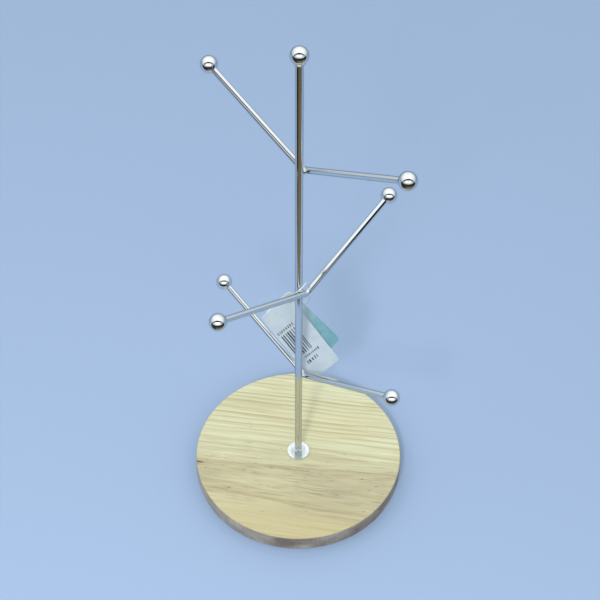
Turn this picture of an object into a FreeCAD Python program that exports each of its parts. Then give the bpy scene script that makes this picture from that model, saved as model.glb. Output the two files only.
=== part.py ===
"""Mug tree: a round wooden foot, a chromed stem bolted through it, three V-bent arm rods welded to
the stem with a ball on every end, and a retail tag that hangs on a nylon loop.

Frame: origin at the centre of the foot's underside, +Z up, -Y towards the front, millimetres.
"""
import FreeCAD
import Part
import Sketcher
import math
import os

Vector = FreeCAD.Vector
X_AXIS = Vector(1, 0, 0)
Y_AXIS = Vector(0, 1, 0)
Z_AXIS = Vector(0, 0, 1)

doc = FreeCAD.newDocument("mug_tree")
sheet = doc.addObject("Spreadsheet::Sheet", "Dimensions")

# Driving dimensions, in millimetres and degrees.
DIMENSIONS = {
    # the wooden foot
    "base_diameter": 170, "base_thickness": 15, "base_edge_round": 1.2,
    "base_bore": 6.4, "recess_diameter": 22, "recess_depth": 8.6,
    # the stem: plain rod with an M6 thread at its foot
    "stem_diameter": 5.5, "thread_diameter": 6, "stem_foot": 1.2, "thread_top": 22.8,
    "stem_top": 410.5, "stem_chamfer": 0.6,
    # washers and nuts
    "washer_diameter": 18, "washer_bore": 6.4, "washer_thickness": 1.6,
    "nut_across_flats": 10, "nut_height": 5, "nut_bore": 6.1, "nut_crown_radius": 6.05,
    # balls
    "ball_diameter": 12, "top_ball_height": 413, "socket_play": 0.05,
    "socket_floor": 3, "stem_socket_floor": 2.5,
    # arm rods: two straight arms of one bent rod
    "arm_diameter": 4.5, "arm_reach": 96.6, "bend_radius": 6, "weld_gap": 0.1,
    "upper_height": 319, "upper_azimuth": -43.7, "upper_shift": -0.9,
    "upper_tilt": 0.8, "upper_rise": 25.5,
    "middle_height": 207, "middle_azimuth": 47.6, "middle_shift": 2.9,
    "middle_tilt": -1.5, "middle_rise": 23,
    "lower_height": 110.4, "lower_azimuth": -42.9, "lower_shift": 1.2,
    "lower_tilt": 0.2, "lower_rise": 27.2,
    # weld beads
    "weld_radius": 3.3,
    "collar_radius": 2.9, "collar_bead": 0.9, "collar_sink": 0.3,
    # the tag: a printed card, a backing card behind it, and a nylon loop through both
    "card_width": 27, "card_length": 86, "card_thickness": 0.4, "card_corner": 1.5,
    "backing_width": 26, "backing_length": 74.5, "backing_thickness": 0.6, "backing_corner": 4,
    "card_inset": 3, "card_top_inset": 4.6, "backing_inset": 6.4, "backing_top_inset": 6.4,
    "hole_diameter": 3.4, "card_spacing": 0.9,
    "hang_x": -7.5, "hang_y": 19, "hang_z": 177.3,
    "tag_yaw": 25, "tag_lean": 10, "card_roll": 25.5, "backing_roll": 31.5,
    "loop_diameter": 1, "lock_diameter": 2.4, "lock_edge_round": 0.4,
}
for row, (alias, value) in enumerate(DIMENSIONS.items(), start=1):
    sheet.set(f"A{row}", alias)
    sheet.set(f"B{row}", str(value))
    sheet.setAlias(f"B{row}", alias)
doc.recompute()


def dim(alias):
    return float(sheet.get(alias))


def cell(alias):
    return f"Dimensions.{alias}"


SUB_PARTS = []


def keep(obj, label):
    """Names a finished sub-part; its label is the name of its file."""
    obj.Label = label
    SUB_PARTS.append(obj)
    return obj


# ---------------------------------------------------------------- helpers for bodies and sketches

def new_body(name):
    return doc.addObject("PartDesign::Body", name)


def new_sketch(body, name, plane):
    """A sketch on one of the body's own origin planes, such as XY_Plane."""
    sketch = body.newObject("Sketcher::SketchObject", name)
    support = [f for f in body.Origin.OriginFeatures if f.Role == plane][0]
    sketch.AttachmentSupport = [(support, "")]
    sketch.MapMode = "FlatFace"
    return sketch


def bind(sketch, index, expression):
    sketch.setExpression(f"Constraints[{index}]", expression)


def circle_sketch(body, name, diameter, plane="XY_Plane"):
    """A circle about the body's origin, its diameter bound to an expression."""
    sketch = new_sketch(body, name, plane)
    sketch.addGeometry(Part.Circle(Vector(0, 0, 0), Z_AXIS, 5))
    sketch.addConstraint(Sketcher.Constraint("Coincident", 0, 3, -1, 1))
    index = sketch.addConstraint(Sketcher.Constraint("Diameter", 0, 10))
    bind(sketch, index, diameter)
    return sketch


def closed_outline(sketch, corners):
    """Lines joining the corners, each corner's two coordinates bound to expressions.

    corners holds (x, y, x expression, y expression); an expression of None leaves a corner on
    that axis of the sketch.
    """
    count = len(corners)
    for i, (x, y, _, _) in enumerate(corners):
        nx, ny = corners[(i + 1) % count][:2]
        sketch.addGeometry(Part.LineSegment(Vector(x, y, 0), Vector(nx, ny, 0)))
    for i in range(count):
        sketch.addConstraint(Sketcher.Constraint("Coincident", i, 2, (i + 1) % count, 1))
    for i, (x, y, x_cell, y_cell) in enumerate(corners):
        if x_cell is None:
            sketch.addConstraint(Sketcher.Constraint("PointOnObject", i, 1, -2))
        else:
            index = sketch.addConstraint(Sketcher.Constraint("DistanceX", -1, 1, i, 1, x))
            bind(sketch, index, x_cell)
        if y_cell is None:
            sketch.addConstraint(Sketcher.Constraint("PointOnObject", i, 1, -1))
        else:
            index = sketch.addConstraint(Sketcher.Constraint("DistanceY", -1, 1, i, 1, y))
            bind(sketch, index, y_cell)


def pad(body, name, sketch, length, midplane=False):
    feature = body.newObject("PartDesign::Pad", name)
    feature.Profile = sketch
    feature.setExpression("Length", length)
    if midplane:
        feature.SideType = "Symmetric"
    doc.recompute()
    return feature


def pocket(body, name, sketch, length, reverse):
    """A pocket of stated depth, or right through when length is None; it must remove material."""
    before = body.Shape.Volume
    feature = body.newObject("PartDesign::Pocket", name)
    feature.Profile = sketch
    feature.Reversed = reverse
    if length is None:
        feature.Type = "ThroughAll"
        feature.SideType = "Symmetric"
    else:
        feature.setExpression("Length", length)
    doc.recompute()
    if body.Shape.Volume >= before - 0.01:
        raise RuntimeError(f"{name} removed nothing")
    return feature


def round_edges(body, name, base, radius, wanted):
    """A fillet on the edges of base for which wanted(edge) is true."""
    edges = [f"Edge{i}" for i, e in enumerate(base.Shape.Edges, start=1) if wanted(e)]
    feature = body.newObject("PartDesign::Fillet", name)
    feature.Base = (base, edges)
    feature.setExpression("Radius", radius)
    doc.recompute()
    return feature


# ---------------------------------------------------------------- the wooden foot

def make_base():
    body = new_body("BaseDisc")
    disc = pad(body, "Disc", circle_sketch(body, "DiscOutline", cell("base_diameter")),
               cell("base_thickness"))
    rim = dim("base_diameter") / 2
    round_edges(body, "EdgeBreak", disc, cell("base_edge_round"),
                lambda e: len(e.Vertexes) == 1 and abs(e.Curve.Radius - rim) < 0.01)
    pocket(body, "NutRecess", circle_sketch(body, "RecessOutline", cell("recess_diameter")),
           cell("recess_depth"), True)
    pocket(body, "StemBore", circle_sketch(body, "BoreOutline", cell("base_bore")), None, False)
    return keep(body, "base_disc")


# ---------------------------------------------------------------- the stem and its fasteners

def make_stem():
    """A plain rod whose foot is the thread, turned about Z from its half profile."""
    body = new_body("StemRod")
    sketch = new_sketch(body, "HalfProfile", "XZ_Plane")
    thread = f"{cell('thread_diameter')} / 2"
    rod = f"{cell('stem_diameter')} / 2"
    chamfer = cell("stem_chamfer")
    foot, top, shoulder = cell("stem_foot"), cell("stem_top"), cell("thread_top")
    r_thread, r_rod, c = dim("thread_diameter") / 2, dim("stem_diameter") / 2, dim("stem_chamfer")
    z_foot, z_top, z_shoulder = dim("stem_foot"), dim("stem_top"), dim("thread_top")
    closed_outline(sketch, [
        (0, z_foot, None, foot),
        (r_thread - c, z_foot, f"{thread} - {chamfer}", foot),
        (r_thread, z_foot + c, thread, f"{foot} + {chamfer}"),
        (r_thread, z_shoulder - c, thread, f"{shoulder} - {chamfer}"),
        (r_rod, z_shoulder, rod, shoulder),
        (r_rod, z_top, rod, top),
        (0, z_top, None, top),
    ])
    turned = body.newObject("PartDesign::Revolution", "Turned")
    turned.Profile = sketch
    turned.ReferenceAxis = (sketch, ["V_Axis"])
    turned.Angle = 360
    doc.recompute()
    return keep(body, "stem_rod")


def make_washer(label, bottom):
    """A flat washer with its lower face at the height that bottom gives."""
    name = label.title().replace("_", "")
    disc = doc.addObject("Part::Cylinder", name + "Disc")
    disc.setExpression("Radius", f"{cell('washer_diameter')} / 2")
    disc.setExpression("Height", cell("washer_thickness"))
    bore = doc.addObject("Part::Cylinder", name + "Bore")
    bore.setExpression("Radius", f"{cell('washer_bore')} / 2")
    bore.setExpression("Height", cell("washer_thickness"))
    washer = doc.addObject("Part::Cut", name)
    washer.Base = disc
    washer.Tool = bore
    washer.setExpression("Placement.Base.z", bottom)
    return keep(washer, label)


def make_nut(label, bottom):
    """A hexagon nut, corners towards +X and -X, its six corners turned down at both ends."""
    name = label.title().replace("_", "")
    prism = doc.addObject("Part::Prism", name + "Prism")
    prism.Polygon = 6
    prism.setExpression("Circumradius", f"{cell('nut_across_flats')} / 2 / cos(30 deg)")
    prism.setExpression("Height", cell("nut_height"))
    # a ball that just cuts the corners gives the usual curved chamfer
    crown = doc.addObject("Part::Sphere", name + "Crown")
    crown.setExpression("Radius", cell("nut_crown_radius"))
    crown.setExpression("Placement.Base.z", f"{cell('nut_height')} / 2")
    blank = doc.addObject("Part::Common", name + "Blank")
    blank.Base = prism
    blank.Tool = crown
    bore = doc.addObject("Part::Cylinder", name + "Bore")
    bore.setExpression("Radius", f"{cell('nut_bore')} / 2")
    bore.setExpression("Height", cell("nut_height"))
    nut = doc.addObject("Part::Cut", name)
    nut.Base = blank
    nut.Tool = bore
    nut.setExpression("Placement.Base.z", bottom)
    return keep(nut, label)


def make_fasteners():
    top = cell("base_thickness")
    ceiling = cell("recess_depth")
    washer, nut = cell("washer_thickness"), cell("nut_height")
    make_washer("upper_washer", top)
    make_nut("upper_nut", f"{top} + {washer}")
    make_washer("lower_washer", f"{ceiling} - {washer}")
    make_nut("lower_nut", f"{ceiling} - {washer} - {nut}")


# ---------------------------------------------------------------- arm rods

TIERS = ("upper", "middle", "lower")


def tier_placement(tier):
    """Where a bent rod's own frame goes, and the level direction from the stem to the rod.

    In its own frame the rod's bend is at the origin and its arms lie in the XZ plane. The rod
    passes beside the stem, its middle line as far from the stem's as their two radii and the
    weld's gap together.
    """
    azimuth = math.radians(dim(f"{tier}_azimuth"))
    along = Vector(math.cos(azimuth), math.sin(azimuth), 0)
    normal = Vector(abs(math.sin(azimuth)), math.cos(azimuth) * math.copysign(1, -azimuth), 0)
    offset = dim("stem_diameter") / 2 + dim("arm_diameter") / 2 + dim("weld_gap")
    bend = normal * offset + along * dim(f"{tier}_shift") + Z_AXIS * dim(f"{tier}_height")
    turn = FreeCAD.Rotation(Z_AXIS, dim(f"{tier}_azimuth"))
    tilt = FreeCAD.Rotation(Y_AXIS, -dim(f"{tier}_tilt"))
    return FreeCAD.Placement(bend, turn * tilt), normal


def make_arm_rod(tier):
    """One rod with a bend in its middle: half of it is swept, then mirrored."""
    body = new_body(tier.title() + "ArmRod")
    rise = cell(f"{tier}_rise")
    bend = cell("bend_radius")
    angle, radius = math.radians(dim(f"{tier}_rise")), dim("bend_radius")
    centre = Vector(0, radius / math.cos(angle), 0)
    start = centre + Vector(0, -radius, 0)
    end = centre + Vector(radius * math.sin(angle), -radius * math.cos(angle), 0)
    tip_reach = dim("arm_reach") - dim("socket_floor")
    tip = Vector(tip_reach * math.cos(angle), tip_reach * math.sin(angle), 0)
    path = new_sketch(body, "HalfPath", "XZ_Plane")
    half_bend = Part.Circle(centre, Z_AXIS, radius)
    path.addGeometry(Part.ArcOfCircle(half_bend, -math.pi / 2, -math.pi / 2 + angle))
    path.addGeometry(Part.LineSegment(end, tip))
    path.addConstraint(Sketcher.Constraint("PointOnObject", 0, 3, -2))
    path.addConstraint(Sketcher.Constraint("PointOnObject", 0, 1, -2))
    path.addConstraint(Sketcher.Constraint("Tangent", 0, 2, 1, 1))
    index = path.addConstraint(Sketcher.Constraint("Radius", 0, radius))
    bind(path, index, bend)
    index = path.addConstraint(Sketcher.Constraint("DistanceY", -1, 1, 0, 3, centre.y))
    bind(path, index, f"{bend} / cos({rise} * 1 deg)")
    index = path.addConstraint(Sketcher.Constraint("DistanceX", -1, 1, 1, 2, tip.x))
    reach = f"({cell('arm_reach')} - {cell('socket_floor')})"
    bind(path, index, f"{reach} * cos({rise} * 1 deg)")
    index = path.addConstraint(Sketcher.Constraint("DistanceY", -1, 1, 1, 2, tip.y))
    bind(path, index, f"{reach} * sin({rise} * 1 deg)")
    section = new_sketch(body, "Section", "YZ_Plane")
    section.addGeometry(Part.Circle(Vector(0, start.y, 0), Z_AXIS, dim("arm_diameter") / 2))
    section.addConstraint(Sketcher.Constraint("PointOnObject", 0, 3, -2))
    index = section.addConstraint(Sketcher.Constraint("Diameter", 0, dim("arm_diameter")))
    bind(section, index, cell("arm_diameter"))
    index = section.addConstraint(Sketcher.Constraint("DistanceY", -1, 1, 0, 3, start.y))
    bind(section, index, f"{bend} / cos({rise} * 1 deg) - {bend}")
    doc.recompute()
    half = body.newObject("PartDesign::AdditivePipe", "HalfRod")
    half.Profile = section
    half.Spine = path
    doc.recompute()
    mirror = body.newObject("PartDesign::Mirrored", "OtherHalf")
    mirror.Originals = [half]
    mirror.MirrorPlane = ([f for f in body.Origin.OriginFeatures if f.Role == "YZ_Plane"][0], [""])
    body.Tip = mirror
    body.Placement = tier_placement(tier)[0]
    doc.recompute()
    return keep(body, f"{tier}_arm_rod")


# ---------------------------------------------------------------- balls

def make_ball(label, rod_diameter, floor, placement):
    """A ball with a blind bore: its own +Z points out of the bore, down the rod that it caps."""
    name = label.title().replace("_", "")
    sphere = doc.addObject("Part::Sphere", name + "Sphere")
    sphere.setExpression("Radius", f"{cell('ball_diameter')} / 2")
    bore = doc.addObject("Part::Cylinder", name + "Bore")
    bore.setExpression("Radius", f"{cell(rod_diameter)} / 2 + {cell('socket_play')}")
    bore.setExpression("Height", cell("ball_diameter"))
    bore.setExpression("Placement.Base.z", cell(floor))
    ball = doc.addObject("Part::Cut", name)
    ball.Base = sphere
    ball.Tool = bore
    ball.Placement = placement
    return keep(ball, label)


def make_arm_balls(tier):
    rod, _ = tier_placement(tier)
    angle = math.radians(dim(f"{tier}_rise"))
    for side, sign in (("left", -1), ("right", 1)):
        out = rod.Rotation.multVec(Vector(sign * math.cos(angle), 0, math.sin(angle)))
        inward = FreeCAD.Rotation(Z_AXIS, out * -1)
        centre = rod.Base + out * dim("arm_reach")
        make_ball(f"{tier}_{side}_ball", "arm_diameter", "socket_floor",
                  FreeCAD.Placement(centre, inward))


def make_stem_ball():
    centre = Vector(0, 0, dim("top_ball_height"))
    down = FreeCAD.Rotation(X_AXIS, 180)
    return make_ball("stem_ball", "stem_diameter", "stem_socket_floor",
                     FreeCAD.Placement(centre, down))


# ---------------------------------------------------------------- welds

def make_rod_weld(tier, stem, rod):
    """The bead between a bent rod and the stem: a round lump less both of them."""
    placement, normal = tier_placement(tier)
    angle = math.radians(dim(f"{tier}_rise"))
    drop = dim("bend_radius") * (1 / math.cos(angle) - 1)
    contact = normal * (dim("stem_diameter") / 2 + dim("weld_gap") / 2)
    contact += Z_AXIS * (dim(f"{tier}_height") + drop)
    name = tier.title() + "Weld"
    lump = doc.addObject("Part::Sphere", name + "Lump")
    lump.setExpression("Radius", cell("weld_radius"))
    lump.Placement.Base = contact
    off_stem = doc.addObject("Part::Cut", name + "OffStem")
    off_stem.Base = lump
    off_stem.Tool = stem
    weld = doc.addObject("Part::Cut", name)
    weld.Base = off_stem
    weld.Tool = rod
    return keep(weld, f"{tier}_weld")


def make_ball_weld(stem, ball):
    """The ring of weld under the top ball."""
    ring = doc.addObject("Part::Torus", "CollarRing")
    ring.setExpression("Radius1", cell("collar_radius"))
    ring.setExpression("Radius2", cell("collar_bead"))
    drop = math.sqrt((dim("ball_diameter") / 2) ** 2 - dim("collar_radius") ** 2)
    ring.Placement.Base = Vector(0, 0, dim("top_ball_height") - drop - dim("collar_sink"))
    off_stem = doc.addObject("Part::Cut", "CollarOffStem")
    off_stem.Base = ring
    off_stem.Tool = stem
    weld = doc.addObject("Part::Cut", "StemBallWeld")
    weld.Base = off_stem
    weld.Tool = ball
    return keep(weld, "stem_ball_weld")


# ---------------------------------------------------------------- the tag

def card_placement(roll, behind):
    """A hanging card's own frame: hole at the origin, X right, Z up, its back towards +Y."""
    turn = FreeCAD.Rotation(Z_AXIS, dim("tag_yaw")) * FreeCAD.Rotation(X_AXIS, -dim("tag_lean"))
    hang = Vector(dim("hang_x"), dim("hang_y"), dim("hang_z")) + turn.multVec(Y_AXIS * behind)
    return FreeCAD.Placement(hang, turn * FreeCAD.Rotation(Y_AXIS, -roll))


def make_card(label, kind, placement):
    """A flat card with round corners and a punched hole near its top right corner."""
    name = label.title().replace("_", "")
    width, length = dim(f"{kind}_width"), dim(f"{kind}_length")
    inset, top_inset = dim(f"{kind}_inset"), dim(f"{kind}_top_inset")
    right, top = cell(f"{kind}_inset"), cell(f"{kind}_top_inset")
    left = f"{right} - {cell(kind + '_width')}"
    bottom = f"{top} - {cell(kind + '_length')}"
    body = new_body(name)
    outline = new_sketch(body, "Outline", "XZ_Plane")
    closed_outline(outline, [
        (inset - width, top_inset - length, left, bottom),
        (inset, top_inset - length, right, bottom),
        (inset, top_inset, right, top),
        (inset - width, top_inset, left, top),
    ])
    blank = pad(body, "Blank", outline, cell(f"{kind}_thickness"), midplane=True)
    round_edges(body, "Corners", blank, cell(f"{kind}_corner"),
                lambda e: abs(e.Length - dim(f"{kind}_thickness")) < 0.001)
    pocket(body, "Hole", circle_sketch(body, "HoleOutline", cell("hole_diameter"), "XZ_Plane"),
           None, False)
    body.Placement = placement
    return keep(body, label)


# The loop's route, chosen by hand: from the lock behind the cards, round their right edge, up
# past the stem's right side, across the middle rod's bend in front of the stem, down its left
# side and back through the cards' holes.
LOOP_ROUTE = [
    (1.2, 25.6, 168.0),
    (7.6, 24.0, 171.6),
    (8.4, 16.0, 183.6),
    (7.6, 9.4, 198.6),
    (6.4, 3.8, 215.0),
    (1.6, -5.2, 215.2),
    (-5.2, -3.6, 206.8),
    (-7.0, 5.0, 192.4),
    (-5.8, 15.4, 178.2),
    (-9.2, 22.8, 176.8),
    (-5.0, 26.2, 169.8),
]


# how much of the shorter run beside a corner the corner's arc takes up; under a half, so that
# a straight length is left between two arcs
ARC_SHARE = 0.45


def rounded_path(points):
    """Straight runs joined by tangent arcs, each arc as large as its two runs allow."""
    edges = []
    radii = []
    last = points[0]
    for before, corner, after in zip(points, points[1:], points[2:]):
        back, ahead = before - corner, after - corner
        half_turn = (math.pi - back.getAngle(ahead)) / 2
        reach = ARC_SHARE * min(back.Length, ahead.Length)
        radii.append(reach / math.tan(half_turn))
        entry = corner + back.normalize() * reach
        leave = corner + ahead.normalize() * reach
        to_centre = (back + ahead).normalize()
        middle = corner + to_centre * (radii[-1] / math.cos(half_turn) - radii[-1])
        edges.append(Part.LineSegment(last, entry).toShape())
        edges.append(Part.Arc(entry, middle, leave).toShape())
        last = leave
    edges.append(Part.LineSegment(last, points[-1]).toShape())
    return Part.Wire(edges), radii


def make_loop():
    points = [Vector(*p) for p in LOOP_ROUTE]
    wire, radii = rounded_path(points)
    start = (points[1] - points[0]).normalize()
    section = Part.Wire([Part.makeCircle(dim("loop_diameter") / 2, points[0], start)])
    tube = wire.makePipeShell([section], True, True)
    plain = math.pi * (dim("loop_diameter") / 2) ** 2 * wire.Length
    print("loop length", round(wire.Length, 2), "volume over section times length",
          round(tube.Volume / plain, 4))
    print("loop radii", [round(r, 1) for r in radii])
    loop = doc.addObject("Part::Feature", "TagLoop")
    loop.Shape = tube
    keep(loop, "tag_loop")
    # the lock takes both ends of the loop
    ends = points[0] - points[-1]
    lock = doc.addObject("Part::Feature", "TagLoopLock")
    span = ends.Length
    barrel = Part.makeCylinder(dim("lock_diameter") / 2, span)
    lock.Shape = barrel.makeFillet(dim("lock_edge_round"), barrel.Edges[:1] + barrel.Edges[2:])
    lock.Placement = FreeCAD.Placement(points[-1], FreeCAD.Rotation(Z_AXIS, ends))
    keep(lock, "tag_loop_lock")


# ---------------------------------------------------------------- assembly

make_base()
stem_rod = make_stem()
make_fasteners()
stem_ball = make_stem_ball()
arm_rods = {tier: make_arm_rod(tier) for tier in TIERS}
for tier in TIERS:
    make_arm_balls(tier)
doc.recompute()
for tier in TIERS:
    make_rod_weld(tier, stem_rod, arm_rods[tier])
make_ball_weld(stem_rod, stem_ball)
make_card("tag_card", "card", card_placement(dim("card_roll"), 0))
make_card("tag_backing_card", "backing",
          card_placement(dim("backing_roll"), dim("card_spacing")))
make_loop()
doc.recompute()

for obj in doc.Objects:
    if "Invalid" in obj.State or "Error" in obj.State:
        raise RuntimeError(f"{obj.Label}: {obj.State}")
for obj in SUB_PARTS:
    if obj.Shape.isNull() or not obj.Shape.isValid():
        raise RuntimeError(f"{obj.Label}: shape is null or not valid")
os.makedirs("parts", exist_ok=True)
for obj in SUB_PARTS:
    obj.Shape.exportStep(f"parts/{obj.Label}.step")
print(len(SUB_PARTS), "sub-parts written")
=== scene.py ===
"""Mug tree: a chromed stem with three V-bent arm rods and seven balls on a round pine foot, with a
retail tag on a nylon loop. Metres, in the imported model's own frame: Z up, -Y towards the front."""
import math
import random

import bmesh
import bpy
from mathutils import Matrix, Vector


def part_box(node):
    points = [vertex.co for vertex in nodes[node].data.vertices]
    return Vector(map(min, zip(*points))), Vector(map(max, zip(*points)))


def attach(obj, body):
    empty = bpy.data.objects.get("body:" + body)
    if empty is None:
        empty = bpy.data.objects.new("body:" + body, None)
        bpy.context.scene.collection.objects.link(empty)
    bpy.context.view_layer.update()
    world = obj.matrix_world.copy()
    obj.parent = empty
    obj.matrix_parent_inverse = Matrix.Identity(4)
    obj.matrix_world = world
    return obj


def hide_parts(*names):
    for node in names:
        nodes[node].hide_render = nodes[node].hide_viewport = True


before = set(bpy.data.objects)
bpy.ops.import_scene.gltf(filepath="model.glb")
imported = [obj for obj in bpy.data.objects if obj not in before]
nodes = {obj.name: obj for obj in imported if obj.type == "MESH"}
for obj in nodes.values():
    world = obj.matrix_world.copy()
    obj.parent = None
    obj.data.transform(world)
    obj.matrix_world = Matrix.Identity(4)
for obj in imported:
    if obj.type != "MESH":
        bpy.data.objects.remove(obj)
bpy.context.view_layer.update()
scene = bpy.context.scene


# ---------------------------------------------------------------- sizes, in metres

MM = 0.001
STEM_LOW, STEM_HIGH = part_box("stem_rod")
NUT_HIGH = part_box("upper_nut")[1]
ROD_RADIUS = 2.75 * MM      # the stem
ARM_RADIUS = 2.25 * MM
ARM_REACH = 96.6 * MM       # from a bent rod's corner to a ball's centre
SLEEVE = 10.5 * MM          # how far a weld's bead runs along each rod
BLOB_RADIUS = 2.9 * MM
THREAD_RADIUS = 3.0 * MM    # M6
THREAD_DEPTH = 0.34 * MM
THREAD_FLANK = 0.42         # half a groove's width, in pitches
PITCH = 1.0 * MM
THREAD_TOP = NUT_HIGH.z + 1.2 * MM
STRAND_DIAMETER = 1.0 * MM
HOLE_RADIUS = 1.7 * MM
HANG = Vector((-0.0075, 0.019, 0.1773))     # the printed card's hole
CARD_SPACING = 0.9 * MM
CARD_GRID = 2.2 * MM        # the spacing of the cuts that let a card bow
PRINT_LEFT, PRINT_TOP = -24.6 * MM, 5.5 * MM    # the frame that print is placed in
PRINT_WIDTH, PRINT_HEIGHT = 27.6 * MM, 82.6 * MM
PRINT_LIFT = 0.23 * MM      # from the card's middle plane to just above its face


# ---------------------------------------------------------------- small helpers

def add_object(name, data, matrix=None):
    obj = bpy.data.objects.new(name, data)
    scene.collection.objects.link(obj)
    if matrix is not None:
        obj.matrix_world = matrix
    return obj


def mesh_object(name, bm, material, smooth=True, matrix=None):
    mesh = bpy.data.meshes.new(name)
    bm.to_mesh(mesh)
    bm.free()
    for face in mesh.polygons:
        face.use_smooth = smooth
    mesh.materials.append(material)
    return add_object(name, mesh, matrix)


def evaluated_mesh(obj):
    """A new mesh of obj as it stands: a curve filled, or modifiers applied."""
    bpy.context.view_layer.update()
    depsgraph = bpy.context.evaluated_depsgraph_get()
    return bpy.data.meshes.new_from_object(obj.evaluated_get(depsgraph))


def turn(axis, degrees):
    return Matrix.Rotation(math.radians(degrees), 4, axis)


# ---------------------------------------------------------------- camera

camera_data = bpy.data.cameras.new("camera")
camera_data.lens = 75
camera_data.sensor_width = 36
camera_data.clip_start = 0.01
camera_data.clip_end = 20
camera = add_object("camera", camera_data)
camera.matrix_world = (
    Matrix.Translation((0, -0.62456, 0.85905))
    @ turn("Z", -0.085) @ turn("X", 43.4) @ turn("Z", 0.22)
)
scene.camera = camera


# ---------------------------------------------------------------- materials

class Nodes:
    """Short calls for the nodes of one tree."""

    def __init__(self, tree):
        self.tree = tree

    def node(self, kind, inputs=None, **settings):
        made = self.tree.nodes.new(kind)
        for key, value in settings.items():
            setattr(made, key, value)
        for key, value in (inputs or {}).items():
            self.feed(made.inputs[key], value)
        return made

    def feed(self, socket, value):
        if isinstance(value, bpy.types.NodeSocket):
            self.tree.links.new(value, socket)
        else:
            socket.default_value = value

    def scaled(self, vector, scale):
        return self.node("ShaderNodeMapping", {"Vector": vector, "Scale": scale}).outputs["Vector"]

    def noise(self, vector, scale, detail=3.0, roughness=0.55, distortion=0.0):
        return self.node("ShaderNodeTexNoise", {
            "Vector": vector, "Scale": scale, "Detail": detail, "Roughness": roughness,
            "Distortion": distortion,
        }).outputs["Fac"]

    def math(self, operation, a, b=0.0, c=0.0, clamp=False):
        made = self.node("ShaderNodeMath", operation=operation, use_clamp=clamp)
        for socket, value in zip(made.inputs, (a, b, c)):
            self.feed(socket, value)
        return made.outputs[0]

    def length(self, a, b):
        """The square root of a squared plus b squared."""
        return self.math("SQRT", self.math("ADD", self.math("MULTIPLY", a, a),
                                           self.math("MULTIPLY", b, b)))

    def ramp(self, factor, stops):
        """A colour ramp; a stop is (position, colour) or (position, grey level)."""
        made = self.node("ShaderNodeValToRGB", {"Fac": factor})
        elements = made.color_ramp.elements
        while len(elements) < len(stops):
            elements.new(0.5)
        for element, (position, value) in zip(elements, stops):
            element.position = position
            if isinstance(value, (int, float)):
                value = (value, value, value)
            element.color = (*value, 1)
        return made.outputs["Color"]

    def mix(self, factor, a, b):
        made = self.node("ShaderNodeMix", data_type="RGBA")
        for index, value in ((0, factor), (6, a), (7, b)):
            if isinstance(value, tuple) and len(value) == 3:
                value = (*value, 1)
            self.feed(made.inputs[index], value)
        return made.outputs[2]

    def split(self, vector):
        return self.node("ShaderNodeSeparateXYZ", {"Vector": vector}).outputs

    def rescale(self, value, low, high, new_low=0.0, new_high=1.0):
        """value from low..high to new_low..new_high, held at both ends."""
        return self.node("ShaderNodeMapRange", {
            "Value": value, "From Min": low, "From Max": high,
            "To Min": new_low, "To Max": new_high,
        }).outputs["Result"]


class Shader(Nodes):
    """A material with a Principled shader, and the nodes that feed it."""

    def __init__(self, name, **sockets):
        self.material = bpy.data.materials.new(name)
        self.material.use_nodes = True
        super().__init__(self.material.node_tree)
        self.bsdf = self.tree.nodes["Principled BSDF"]
        for socket, value in sockets.items():
            self.bsdf.inputs[socket.replace("_", " ")].default_value = value

    def place(self, rotation=(0, 0, 0)):
        """The object's own coordinates, turned."""
        source = self.node("ShaderNodeTexCoord").outputs["Object"]
        return self.node("ShaderNodeMapping", {
            "Vector": source, "Rotation": tuple(math.radians(a) for a in rotation),
        }).outputs["Vector"]

    def bump(self, height, distance, strength=1.0):
        made = self.node("ShaderNodeBump", {"Height": height, "Distance": distance,
                                            "Strength": strength})
        self.feed(self.bsdf.inputs["Normal"], made.outputs["Normal"])

    def set(self, socket, value):
        self.feed(self.bsdf.inputs[socket], value)


def srgb(red, green, blue):
    """A display colour, 0 to 255, as the linear colour that shaders take."""
    made = []
    for value in (red, green, blue):
        value /= 255
        made.append(value / 12.92 if value <= 0.04045 else ((value + 0.055) / 1.055) ** 2.4)
    return tuple(made)


WOOD_PALE = srgb(212, 216, 182)
WOOD_WARM = srgb(203, 200, 160)
WOOD_NEAR = srgb(190, 180, 138)
WOOD_LATE = srgb(158, 142, 102)
WOOD_STREAK = srgb(184, 176, 136)
WOOD_GREY = srgb(166, 158, 130)
WOOD_SMUDGE = srgb(124, 116, 104)
WOOD_SPECK = srgb(114, 94, 70)
WOOD_MARK = srgb(84, 60, 54)
SIDE_PALE = srgb(172, 166, 152)
SIDE_DARK = srgb(116, 102, 92)
SIDE_RING = srgb(120, 104, 90)


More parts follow.
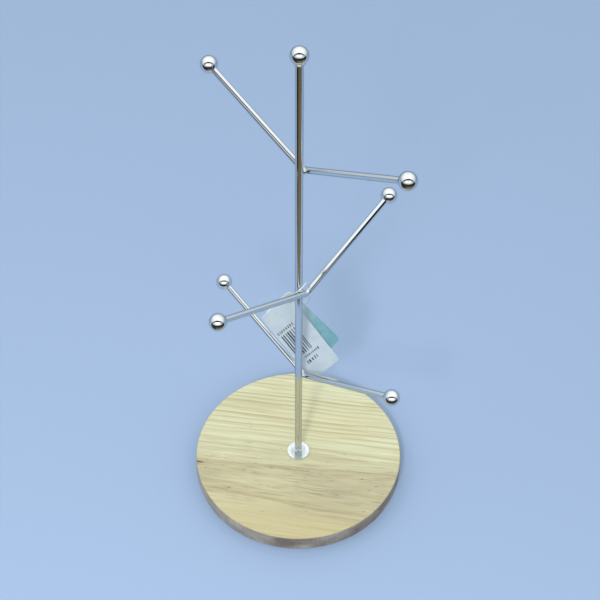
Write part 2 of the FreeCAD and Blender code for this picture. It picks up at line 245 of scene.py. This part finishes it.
def make_pine():
    """Flat-sawn pine: growth rings as a solid about a pith below the board, fibres along them."""
    s = Shader("pine", Roughness=0.6, IOR=1.45)
    grain = s.place(rotation=(0, 0.8, 8.5))
    wander = s.noise(s.scaled(grain, (7, 12, 12)), 1.0, 2)
    ripple = s.noise(s.scaled(grain, (30, 110, 110)), 1.0, 2)
    x, y, z = s.split(grain)
    y = s.math("ADD", y, s.math("MULTIPLY", s.math("SUBTRACT", wander, 0.5), 0.012))
    y = s.math("ADD", y, s.math("MULTIPLY", s.math("SUBTRACT", ripple, 0.5), 0.0012))
    # the pith runs below the board and towards its front; a ring is 3.2 mm thick
    radius = s.length(s.math("ADD", y, 0.034), s.math("ADD", z, 0.066))
    ring = s.math("DIVIDE", radius, 3.2 * MM)
    phase = s.math("FRACT", ring)
    ring_number = s.math("FLOOR", ring)
    late = s.ramp(phase, [(0.0, 0.0), (0.5, 0.03), (0.8, 0.45), (0.9, 1.0), (0.97, 0.9),
                          (1.0, 0.0)])
    # each ring has its own strength
    ring_strength = s.node("ShaderNodeTexWhiteNoise", {"W": ring_number},
                           noise_dimensions="1D").outputs["Value"]
    ring_strength = s.math("MULTIPLY_ADD", s.math("POWER", ring_strength, 1.6), 1.05, 0.22)
    # the far half of the board shows its rings more clearly than the near half
    clear = s.rescale(y, -0.02, 0.035, 0.6, 1.0)
    late = s.math("MULTIPLY", s.math("MULTIPLY", late, ring_strength), clear)

    fibre = s.noise(s.scaled(grain, (34, 900, 900)), 1.0, 3, 0.6)
    streak = s.noise(s.scaled(grain, (13, 210, 210)), 1.0, 4, 0.6)
    patch = s.noise(s.scaled(grain, (10, 28, 28)), 1.0, 3)

    # pale early wood, browner towards the front, with darker late wood and fine fibres
    early = s.mix(s.ramp(patch, [(0.35, 0.0), (0.75, 1.0)]), WOOD_PALE, WOOD_WARM)
    early = s.mix(s.rescale(y, 0.02, -0.07), early, WOOD_NEAR)
    colour = s.mix(late, early, WOOD_LATE)
    lines = s.noise(s.scaled(grain, (6, 330, 330)), 1.0, 3, 0.6, 0.1)
    colour = s.mix(s.ramp(lines, [(0.51, 0.0), (0.59, 0.3), (0.75, 0.5)]), colour, WOOD_LATE)
    colour = s.mix(s.ramp(lines, [(0.25, 0.35), (0.45, 0.0)]), colour, WOOD_PALE)
    colour = s.mix(s.ramp(streak, [(0.48, 0.0), (0.72, 0.45)]), colour, WOOD_STREAK)
    colour = s.mix(s.ramp(fibre, [(0.35, 0.3), (0.62, 0.0)]), colour, WOOD_STREAK)

    # a greyer, smudged band of short dark strokes across the middle and the near part
    near = s.math("MULTIPLY", s.math("ADD", y, 0.03), 26)
    band = s.math("SUBTRACT", 1.0, s.math("MULTIPLY", near, near), clamp=True)
    smudge = s.noise(s.scaled(grain, (52, 860, 860)), 1.0, 4, 0.65, 0.3)
    thick = s.noise(s.scaled(grain, (24, 90, 90)), 1.0, 2)
    smudge = s.math("MULTIPLY", s.ramp(smudge, [(0.48, 0.0), (0.63, 0.7), (1.0, 0.9)]), band)
    smudge = s.math("MULTIPLY", smudge, s.ramp(thick, [(0.3, 0.25), (0.62, 0.9)]))
    cloud = s.math("MULTIPLY", s.ramp(patch, [(0.38, 0.0), (0.62, 0.5)]), band)
    colour = s.mix(cloud, colour, WOOD_GREY)
    colour = s.mix(smudge, colour, WOOD_SMUDGE)
    speck = s.noise(s.scaled(grain, (170, 620, 620)), 1.0, 1, 0.4)
    speck = s.math("MULTIPLY", s.ramp(speck, [(0.735, 0.0), (0.78, 1.0)]),
                   s.math("MULTIPLY_ADD", band, 0.6, 0.3))
    colour = s.mix(speck, colour, WOOD_SPECK)

    # one small dark resin mark that runs in from the left rim
    mark_x = s.math("DIVIDE", s.math("ADD", x, 0.0815), 0.0078)
    mark_y = s.math("DIVIDE", s.math("ADD", y, 0.0245), 0.0011)
    mark = s.math("ADD", s.math("MULTIPLY", mark_x, mark_x), s.math("MULTIPLY", mark_y, mark_y))
    mark = s.ramp(mark, [(0.35, 0.85), (1.0, 0.0)])
    colour = s.mix(mark, colour, WOOD_MARK)

    # the sawn side is greyer and blotched, with fine upright saw marks
    normal = s.node("ShaderNodeNewGeometry").outputs["Normal"]
    side = s.ramp(s.math("ABSOLUTE", s.split(normal)["Z"]), [(0.25, 1.0), (0.85, 0.0)])
    blotch = s.noise(s.scaled(grain, (38, 38, 60)), 1.0, 3)
    saw = s.noise(s.scaled(grain, (700, 700, 12)), 1.0, 2)
    side_colour = s.mix(s.ramp(blotch, [(0.36, 0.0), (0.68, 1.0)]), SIDE_PALE, SIDE_DARK)
    side_colour = s.mix(s.math("MULTIPLY", late, 0.5), side_colour, SIDE_RING)
    side_colour = s.mix(s.ramp(saw, [(0.4, 0.0), (0.75, 0.35)]), side_colour, SIDE_DARK)
    colour = s.mix(side, colour, side_colour)
    s.set("Base Color", colour)

    s.set("Roughness", s.ramp(s.math("ADD", s.math("MULTIPLY", late, 0.5), fibre),
                              [(0.3, 0.66), (1.1, 0.46)]))
    height = s.math("ADD", s.math("MULTIPLY", fibre, 0.5), s.math("MULTIPLY", late, 0.6))
    height = s.math("ADD", height, s.math("MULTIPLY", s.math("MULTIPLY", saw, side), 1.2))
    s.bump(height, 0.00018, 0.7)
    return s.material


def make_chrome(name, colour, smear, ripple, grain):
    """Bright plating: faint smears in its gloss, a slight orange-peel ripple, fine pits. smear is
    the roughness between and in the smears, ripple the bump's depth, grain the pits' share."""
    s = Shader(name, Metallic=1.0, Base_Color=(*colour, 1), Specular_Tint=(0.42, 0.46, 0.5, 1))
    where = s.place()
    smears = s.noise(s.scaled(where, (60, 60, 22)), 1.0, 4, 0.6)
    s.set("Roughness", s.ramp(smears, [(0.35, smear[0]), (0.7, smear[1])]))
    peel = s.noise(where, 420, 2)
    pits = s.noise(where, 2600, 2)
    height = s.math("ADD", peel, s.math("MULTIPLY", pits, grain))
    s.bump(height, ripple)
    return s.material


def make_zinc(name, gloss):
    """Bright zinc plating, duller than chrome, with turned rings and small scuffs; gloss is the
    roughness between and in the scuffs."""
    s = Shader(name, Metallic=1.0)
    where = s.place()
    x, y = s.split(where)[:2]
    rings = s.node("ShaderNodeTexNoise", {"W": s.math("MULTIPLY", s.length(x, y), 5200),
                                          "Detail": 2.0}, noise_dimensions="1D").outputs["Fac"]
    scuff = s.noise(where, 260, 3)
    s.set("Base Color", s.mix(s.ramp(scuff, [(0.4, 0.0), (0.7, 1.0)]), srgb(232, 238, 238),
                              srgb(212, 220, 222)))
    s.set("Roughness", s.ramp(scuff, [(0.3, gloss[0]), (0.75, gloss[1])]))
    s.bump(rings, 0.00001, 0.8)
    return s.material


def make_card_stock(name, pale, shade, head=None):
    """Coated card: faint cloudiness and paper fibres; head is the colour its top end fades to."""
    s = Shader(name, Roughness=0.5, IOR=1.46)
    where = s.place()
    cloud = s.noise(where, 90, 3)
    fibre = s.noise(s.scaled(where, (2400, 2400, 900)), 1.0, 2)
    colour = s.mix(s.ramp(cloud, [(0.3, 0.0), (0.75, 1.0)]), pale, shade)
    colour = s.mix(s.ramp(fibre, [(0.45, 0.0), (0.8, 0.3)]), colour, shade)
    if head:
        colour = s.mix(s.rescale(s.split(where)["Z"], -0.034, 0.001), colour, head)
    s.set("Base Color", colour)
    s.set("Roughness", s.ramp(cloud, [(0.3, 0.42), (0.7, 0.58)]))
    s.bump(fibre, 0.00002, 0.6)
    return s.material


def make_ink():
    """Dark printing ink, thin in places."""
    s = Shader("print", Roughness=0.45)
    where = s.place()
    thin = s.noise(where, 1500, 3)
    s.set("Base Color", s.mix(s.ramp(thin, [(0.35, 0.0), (0.75, 1.0)]), srgb(36, 40, 58),
                              srgb(70, 74, 94)))
    s.set("Roughness", s.ramp(thin, [(0.3, 0.4), (0.7, 0.6)]))
    return s.material


def make_nylon():
    """Cloudy clear nylon."""
    s = Shader("nylon", Roughness=0.2, IOR=1.53, Transmission_Weight=0.2)
    where = s.place()
    haze = s.noise(where, 900, 2)
    s.set("Base Color", s.mix(s.ramp(haze, [(0.3, 0.0), (0.7, 1.0)]), srgb(222, 238, 246),
                              srgb(242, 248, 252)))
    s.set("Roughness", s.ramp(haze, [(0.3, 0.14), (0.7, 0.3)]))
    s.bump(haze, 0.00002, 0.5)
    return s.material


pine = make_pine()
chrome = make_chrome("chrome", srgb(222, 226, 228), (0.035, 0.11), 0.00001, 0.2)
ball_chrome = make_chrome("ball_chrome", srgb(232, 234, 234), (0.02, 0.08), 0.000008, 0.1)
weld_chrome = make_chrome("weld_chrome", srgb(236, 238, 236), (0.1, 0.26), 0.00008, 0.8)
zinc = make_zinc("zinc", (0.14, 0.26))
nut_zinc = make_zinc("nut zinc", (0.3, 0.4))
white_card = make_card_stock("white_card", srgb(214, 226, 232), srgb(198, 212, 222))
teal_card = make_card_stock("teal_card", srgb(142, 190, 198), srgb(116, 168, 180),
                            head=srgb(222, 232, 234))
ink = make_ink()
nylon = make_nylon()


def paint(material, *names):
    """Gives CAD nodes their material."""
    for name in names:
        for slot in nodes[name].material_slots:
            slot.material = material


paint(pine, "base_disc")
paint(chrome, "stem_rod", "upper_arm_rod", "middle_arm_rod", "lower_arm_rod")
paint(ball_chrome, "stem_ball", "upper_left_ball", "upper_right_ball", "middle_left_ball",
      "middle_right_ball", "lower_left_ball", "lower_right_ball")
paint(weld_chrome, "stem_ball_weld", "upper_weld", "middle_weld", "lower_weld")
paint(zinc, "upper_washer", "lower_washer")
paint(nut_zinc, "upper_nut", "lower_nut")
paint(nylon, "tag_loop_lock")


# ---------------------------------------------------------------- the tag's loop

LOOP_ROUTE = [
    (0.0012, 0.0256, 0.1680),
    (0.0076, 0.0240, 0.1716),
    (0.0084, 0.0160, 0.1836),
    (0.0076, 0.0094, 0.1986),
    (0.0064, 0.0038, 0.2150),
    (0.0016, -0.0052, 0.2152),
    (-0.0052, -0.0036, 0.2068),
    (-0.0070, 0.0050, 0.1924),
    (-0.0058, 0.0154, 0.1782),
    (-0.0092, 0.0228, 0.1768),
    (-0.0050, 0.0262, 0.1698),
]

loop_curve = bpy.data.curves.new("tag_loop_strand", "CURVE")
loop_curve.dimensions = "3D"
strand = loop_curve.splines.new("NURBS")
strand.points.add(len(LOOP_ROUTE) - 1)
for point, place in zip(strand.points, LOOP_ROUTE):
    point.co = (*place, 1)
strand.order_u = 3
strand.use_endpoint_u = True
strand.resolution_u = 12
loop_curve.bevel_depth = STRAND_DIAMETER / 2
loop_curve.bevel_resolution = 4
loop_curve.materials.append(nylon)
loop = add_object("tag_loop_strand", loop_curve)
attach(loop, "tag_loop")
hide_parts("tag_loop")


# ---------------------------------------------------------------- the stem, with its cut thread

def lathe(name, profile, segments, material, shift):
    """A closed turned solid about Z from (radius, height) pairs; shift(angle, height) adds to the
    radius, for a thread."""
    bm = bmesh.new()
    rings = []
    for radius, height in profile:
        ring = []
        for i in range(segments):
            angle = 2 * math.pi * i / segments
            out = radius + shift(angle, height)
            ring.append(bm.verts.new((out * math.cos(angle), out * math.sin(angle), height)))
        rings.append(ring)
    for low, high in zip(rings, rings[1:]):
        for i in range(segments):
            j = (i + 1) % segments
            bm.faces.new((low[i], low[j], high[j], high[i]))
    bm.faces.new(list(reversed(rings[0])))
    bm.faces.new(rings[-1])
    obj = mesh_object(name, bm, material)
    obj.data.set_sharp_from_angle(angle=math.radians(50))
    return obj


def thread_cut(angle, height):
    """How far the thread dips below its crest; it fades out over its last turn."""
    if height > THREAD_TOP or height < STEM_LOW.z + 0.3 * MM:
        return 0
    phase = (height / PITCH - angle / (2 * math.pi)) % 1
    depth = THREAD_DEPTH * max(0.0, 1 - abs(phase - 0.5) / THREAD_FLANK)
    return -depth * min(1.0, (THREAD_TOP - height) / PITCH)


# a chamfered foot, eight rows of points to each turn of thread, then the plain rod
profile = [(THREAD_RADIUS - 0.6 * MM, STEM_LOW.z),
           (THREAD_RADIUS - 0.3 * MM, STEM_LOW.z + 0.3 * MM)]
height = STEM_LOW.z + 0.6 * MM
while height < THREAD_TOP - 0.3 * MM:
    profile.append((THREAD_RADIUS, height))
    height += PITCH / 8
profile += [(THREAD_RADIUS - 0.06 * MM, THREAD_TOP), (ROD_RADIUS, THREAD_TOP + 0.35 * MM),
            (ROD_RADIUS, THREAD_TOP + 0.8 * MM), (ROD_RADIUS, THREAD_TOP + 2 * MM),
            (ROD_RADIUS, STEM_HIGH.z - 1 * MM), (ROD_RADIUS, STEM_HIGH.z)]
stem = lathe("stem", profile, 64, chrome, thread_cut)
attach(stem, "stand")
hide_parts("stem_rod")


# ---------------------------------------------------------------- weld fillets

def add_tube(bm, start, end, radius, segments=40):
    axis = end - start
    aim = axis.to_track_quat("Z", "Y").to_matrix().to_4x4()
    matrix = Matrix.Translation((start + end) / 2) @ aim
    bmesh.ops.create_cone(bm, cap_ends=True, segments=segments, radius1=radius, radius2=radius,
                          depth=axis.length, matrix=matrix)


def bend_point(arms):
    """Where the two straight arms' lines meet, a known reach below both balls' centres."""
    middle = (arms[0] + arms[1]) / 2
    half = (arms[1] - arms[0]) / 2
    drop = math.sqrt(ARM_REACH ** 2 - half.length ** 2)
    down = Vector((0, 0, -1))
    down -= half.normalized() * down.dot(half.normalized())
    return middle + down.normalized() * drop


def weld_fillet(tier):
    """A smooth bead that fills the corners between the stem and a bent rod: short sleeves of both
    and a blob of weld, fused and smoothed so that the bead swells out of the rods."""
    low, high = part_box(f"{tier}_weld")
    centre = (low + high) / 2
    arms = []
    for side in ("left", "right"):
        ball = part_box(f"{tier}_{side}_ball")
        arms.append((ball[0] + ball[1]) / 2)
    bend = bend_point(arms)
    bm = bmesh.new()
    add_tube(bm, Vector((0, 0, bend.z - SLEEVE)), Vector((0, 0, bend.z + SLEEVE + 1 * MM)),
             ROD_RADIUS)
    for arm in arms:
        along = (arm - bend).normalized()
        add_tube(bm, bend - along * 0.6 * MM, bend + along * SLEEVE, ARM_RADIUS)
    bmesh.ops.create_icosphere(bm, subdivisions=3, radius=BLOB_RADIUS,
                               matrix=Matrix.Translation(centre))
    bead = mesh_object(f"{tier}_weld_bead", bm, weld_chrome)
    remesh = bead.modifiers.new("remesh", "REMESH")
    remesh.mode = "VOXEL"
    remesh.voxel_size = 0.3 * MM
    remesh.use_smooth_shade = True
    smooth = bead.modifiers.new("smooth", "SMOOTH")
    smooth.factor = 0.5
    smooth.iterations = 26
    fused = evaluated_mesh(bead)
    bead.modifiers.clear()
    bead.data = fused
    bead.data.materials.clear()
    bead.data.materials.append(weld_chrome)
    for face in bead.data.polygons:
        face.use_smooth = True
    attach(bead, "stand")
    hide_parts(f"{tier}_weld")


for tier in ("upper", "middle", "lower"):
    weld_fillet(tier)


# ---------------------------------------------------------------- the tag's cards

def card_frame(roll, behind):
    """Where a card hangs: turned by roll in its own plane, and so far behind the front card."""
    lean = turn("Z", 25) @ turn("X", -10)
    return Matrix.Translation(HANG + (lean @ Vector((0, behind, 0)))) @ lean @ turn("Y", -roll)


def card_piece(name, left, right, bottom, top, thickness, corner, matrix, material, bow):
    """A punched card with round corners, cut into a fine grid and bowed; its hole is at the
    origin. bow(x, z) is how far a point moves along the card's own Y."""
    outline = bpy.data.curves.new(name, "CURVE")
    outline.dimensions = "2D"
    outline.fill_mode = "BOTH"
    outline.extrude = thickness / 2
    edge = []
    for cx, cz, start in ((right - corner, top - corner, 0),
                          (left + corner, top - corner, 90),
                          (left + corner, bottom + corner, 180),
                          (right - corner, bottom + corner, 270)):
        for step in range(7):
            angle = math.radians(start + 15 * step)
            edge.append((cx + corner * math.cos(angle), cz + corner * math.sin(angle)))
    hole = [(HOLE_RADIUS * math.cos(a * math.pi / 16), -HOLE_RADIUS * math.sin(a * math.pi / 16))
            for a in range(32)]
    for points in (edge, hole):
        spline = outline.splines.new("POLY")
        spline.points.add(len(points) - 1)
        spline.use_cyclic_u = True
        for point, (px, pz) in zip(spline.points, points):
            point.co = (px, pz, 0, 1)
    flat = add_object(name + "_outline", outline)
    mesh = evaluated_mesh(flat)
    bpy.data.objects.remove(flat)
    bm = bmesh.new()
    bm.from_mesh(mesh)
    bmesh.ops.transform(bm, matrix=turn("X", 90), verts=bm.verts)
    bmesh.ops.remove_doubles(bm, verts=bm.verts, dist=1e-7)
    for axis, low, high in ((0, left, right), (2, bottom, top)):
        count = int((high - low) / CARD_GRID)
        for i in range(1, count):
            place, normal = Vector(), Vector()
            place[axis] = low + (high - low) * i / count
            normal[axis] = 1
            bmesh.ops.bisect_plane(bm, geom=bm.verts[:] + bm.edges[:] + bm.faces[:],
                                   plane_co=place, plane_no=normal)
    for vert in bm.verts:
        vert.co.y += bow(vert.co.x, vert.co.z)
    bmesh.ops.recalc_face_normals(bm, faces=bm.faces)
    card = mesh_object(name, bm, material, matrix=matrix)
    card.data.set_sharp_from_angle(angle=math.radians(35))
    return card


def white_bow(x, z):
    """The printed card's top left corner lifts forwards and its foot leans forwards a little."""
    lift = max(0.0, (-x - 0.007) / 0.017) * max(0.0, (z + 0.05) / 0.0546)
    foot = max(0.0, (-z - 0.03) / 0.0514)
    return -0.0012 * lift ** 2 - 0.0009 * foot ** 2


def teal_bow(x, z):
    """The backing card bends back towards its lower right."""
    far = max(0.0, (x + 0.0196) / 0.026) * max(0.0, -z / 0.0681)
    return 0.0012 * far ** 2


white_matrix = card_frame(25.5, 0)
teal_matrix = card_frame(31.5, CARD_SPACING)
white = card_piece("tag_printed_card", left=-0.0240, right=0.0030, bottom=-0.0814, top=0.0046,
                   thickness=0.0004, corner=0.0015, matrix=white_matrix, material=white_card,
                   bow=white_bow)
teal = card_piece("tag_teal_card", left=-0.0196, right=0.0064, bottom=-0.0681, top=0.0064,
                  thickness=0.0006, corner=0.004, matrix=teal_matrix, material=teal_card,
                  bow=teal_bow)
for card, body, slot in ((white, "tag_card", "white_card"),
                         (teal, "tag_backing_card", "teal_card")):
    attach(card, body)
    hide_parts(body)


def print_mark(bm, a, b, width, length):
    """A printed patch: its middle a across and b down the card as fractions, width and length
    in metres across and down."""
    x, z = PRINT_LEFT + PRINT_WIDTH * a, PRINT_TOP - PRINT_HEIGHT * b
    steps = max(1, int(length / 0.002))
    previous = None
    for i in range(steps + 1):
        height = z + length / 2 - length * i / steps
        row = [bm.verts.new((px, white_bow(px, height) - PRINT_LIFT, height))
               for px in (x - width / 2, x + width / 2)]
        if previous:
            bm.faces.new((previous[0], row[0], row[1], previous[1]))
        previous = row


def bar_row(b, start, end, height, widths, gaps):
    """A row of long upright bars of mixed width; they encode nothing."""
    a = start
    while a < end:
        width = rng.choice(widths)
        print_mark(bm, a + width / 2 / PRINT_WIDTH, b, width, height)
        a += (width + rng.choice(gaps)) / PRINT_WIDTH


def dash_row(b, start, end, height, dash, gap):
    """A row of plain upright dashes where small characters would be; they spell nothing."""
    a = start
    while a < end:
        width = dash * rng.uniform(0.6, 1.4)
        if rng.random() < 0.86:
            print_mark(bm, a, b, width, height * rng.uniform(0.7, 1))
        a += (width + gap) / PRINT_WIDTH


rng = random.Random(7)
bm = bmesh.new()
bar_row(0.5325, 0.11, 0.6, 0.0288, (0.0006, 0.0009, 0.0012), (0.0008, 0.001, 0.0014))
dash_row(0.31, 0.1, 0.6, 0.0034, 0.0008, 0.0011)
dash_row(0.755, 0.3, 0.74, 0.003, 0.0007, 0.001)
dash_row(0.83, 0.25, 0.62, 0.0044, 0.0011, 0.0012)
marks = mesh_object("tag_print", bm, ink, matrix=white_matrix)
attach(marks, "tag_card")


# ---------------------------------------------------------------- floor, lights, world

# The floor's front edge is straight but for a shallow round tongue in front of the foot, so that
# the chrome sees the brown of the room past it.
FLOOR_FAR = 6
TONGUE_RADIUS = 0.187
floor_shader = Shader("floor", Roughness=0.8)
floor_shader.set("Base Color", (*srgb(150, 172, 202), 1))
tongue = [(TONGUE_RADIUS * math.sin(math.radians(a)), -TONGUE_RADIUS * math.cos(math.radians(a)))
          for a in range(-40, 41, 5)]
bm = bmesh.new()
for corner in [(-FLOOR_FAR, tongue[0][1]), *tongue, (FLOOR_FAR, tongue[-1][1]),
               (FLOOR_FAR, FLOOR_FAR), (-FLOOR_FAR, FLOOR_FAR)]:
    bm.verts.new((*corner, 0))
bm.faces.new(bm.verts)
floor = mesh_object("floor", bm, floor_shader.material, smooth=False)


def area_light(name, place, aim, size, watts):
    """A rectangular light that neither the camera nor the chrome sees."""
    data = bpy.data.lights.new(name, "AREA")
    data.shape = "RECTANGLE"
    data.size, data.size_y = size
    data.energy = watts
    obj = add_object(name, data)
    obj.location = place
    obj.rotation_euler = (Vector(aim) - Vector(place)).to_track_quat("-Z", "Y").to_euler()
    obj.visible_camera = False
    obj.visible_glossy = False


area_light("key", (-0.95, -0.1, 1.1), (0, 0, 0.1), (0.8, 0.8), 1.4)
area_light("fill", (-0.2, -0.8, 0.85), (0, 0, 0.15), (0.12, 0.12), 4.8)

# The room that the chrome reflects: a pale sky, white overhead; in front a dark arch round a
# bright window; brown below. aside and up say where a direction meets a wall 1 m in front.
world = bpy.data.worlds.new("studio")
world.use_nodes = True
w = Nodes(world.node_tree)
around = w.node("ShaderNodeTexCoord").outputs["Generated"]
x, y, z = w.split(around)
sky = w.ramp(z, [(0.0, srgb(184, 202, 214)), (0.3, srgb(226, 236, 241)), (0.6, (1.15, 1.18, 1.2)),
                 (0.9, (1.3, 1.32, 1.34))])
ahead = w.math("MAXIMUM", w.math("MULTIPLY", y, -1.0), 0.03)
aside = w.math("DIVIDE", x, ahead)
up = w.math("DIVIDE", z, ahead)
spread = w.math("MULTIPLY", aside, aside)
bar_foot = w.math("MULTIPLY_ADD", spread, 0.3, 0.92)    # the arch's lintel, higher at its sides


def oval(half_width, half_height):
    """1 on the rim of an oval on that wall, less inside it and more outside it."""
    return w.length(w.math("DIVIDE", aside, half_width), w.math("DIVIDE", up, half_height))


arch = w.math("MAXIMUM", w.rescale(oval(1.85, 1.12), 0.97, 1.03),
              w.rescale(w.math("SUBTRACT", up, bar_foot), 0.0, 0.1))
bar = w.math("MULTIPLY", arch, w.rescale(oval(2.7, 2.15), 1.03, 0.97))
window = w.math("MULTIPLY", w.rescale(w.math("SUBTRACT", bar_foot, up), 0.0, 0.1),
                w.rescale(up, 0.25, 0.4))
window = w.math("MULTIPLY", window, w.rescale(spread, 0.25, 0.45, 1.0, 0.0))
in_front = w.rescale(y, -0.08, -0.04, 1.0, 0.0)
sky = w.mix(w.math("MULTIPLY", bar, in_front), sky, srgb(10, 11, 13))
sky = w.mix(w.math("MULTIPLY", window, in_front), sky, (2.3, 2.4, 2.5))
under = w.ramp(w.math("MULTIPLY", z, -1.0), [(0.0, srgb(30, 27, 24)), (0.3, srgb(50, 44, 35)),
                                             (0.55, srgb(100, 90, 68)), (0.7, srgb(134, 123, 95)),
                                             (1.0, srgb(146, 135, 108))])
under = w.mix(w.rescale(x, -0.12, -0.45), under, srgb(58, 54, 40))
room = w.mix(w.rescale(z, -0.03, 0.03, 1.0, 0.0), sky, under)
background = w.tree.nodes["Background"]
w.feed(background.inputs["Color"], room)
background.inputs["Strength"].default_value = 0.93
scene.world = world
scene.view_settings.view_transform = "Standard"
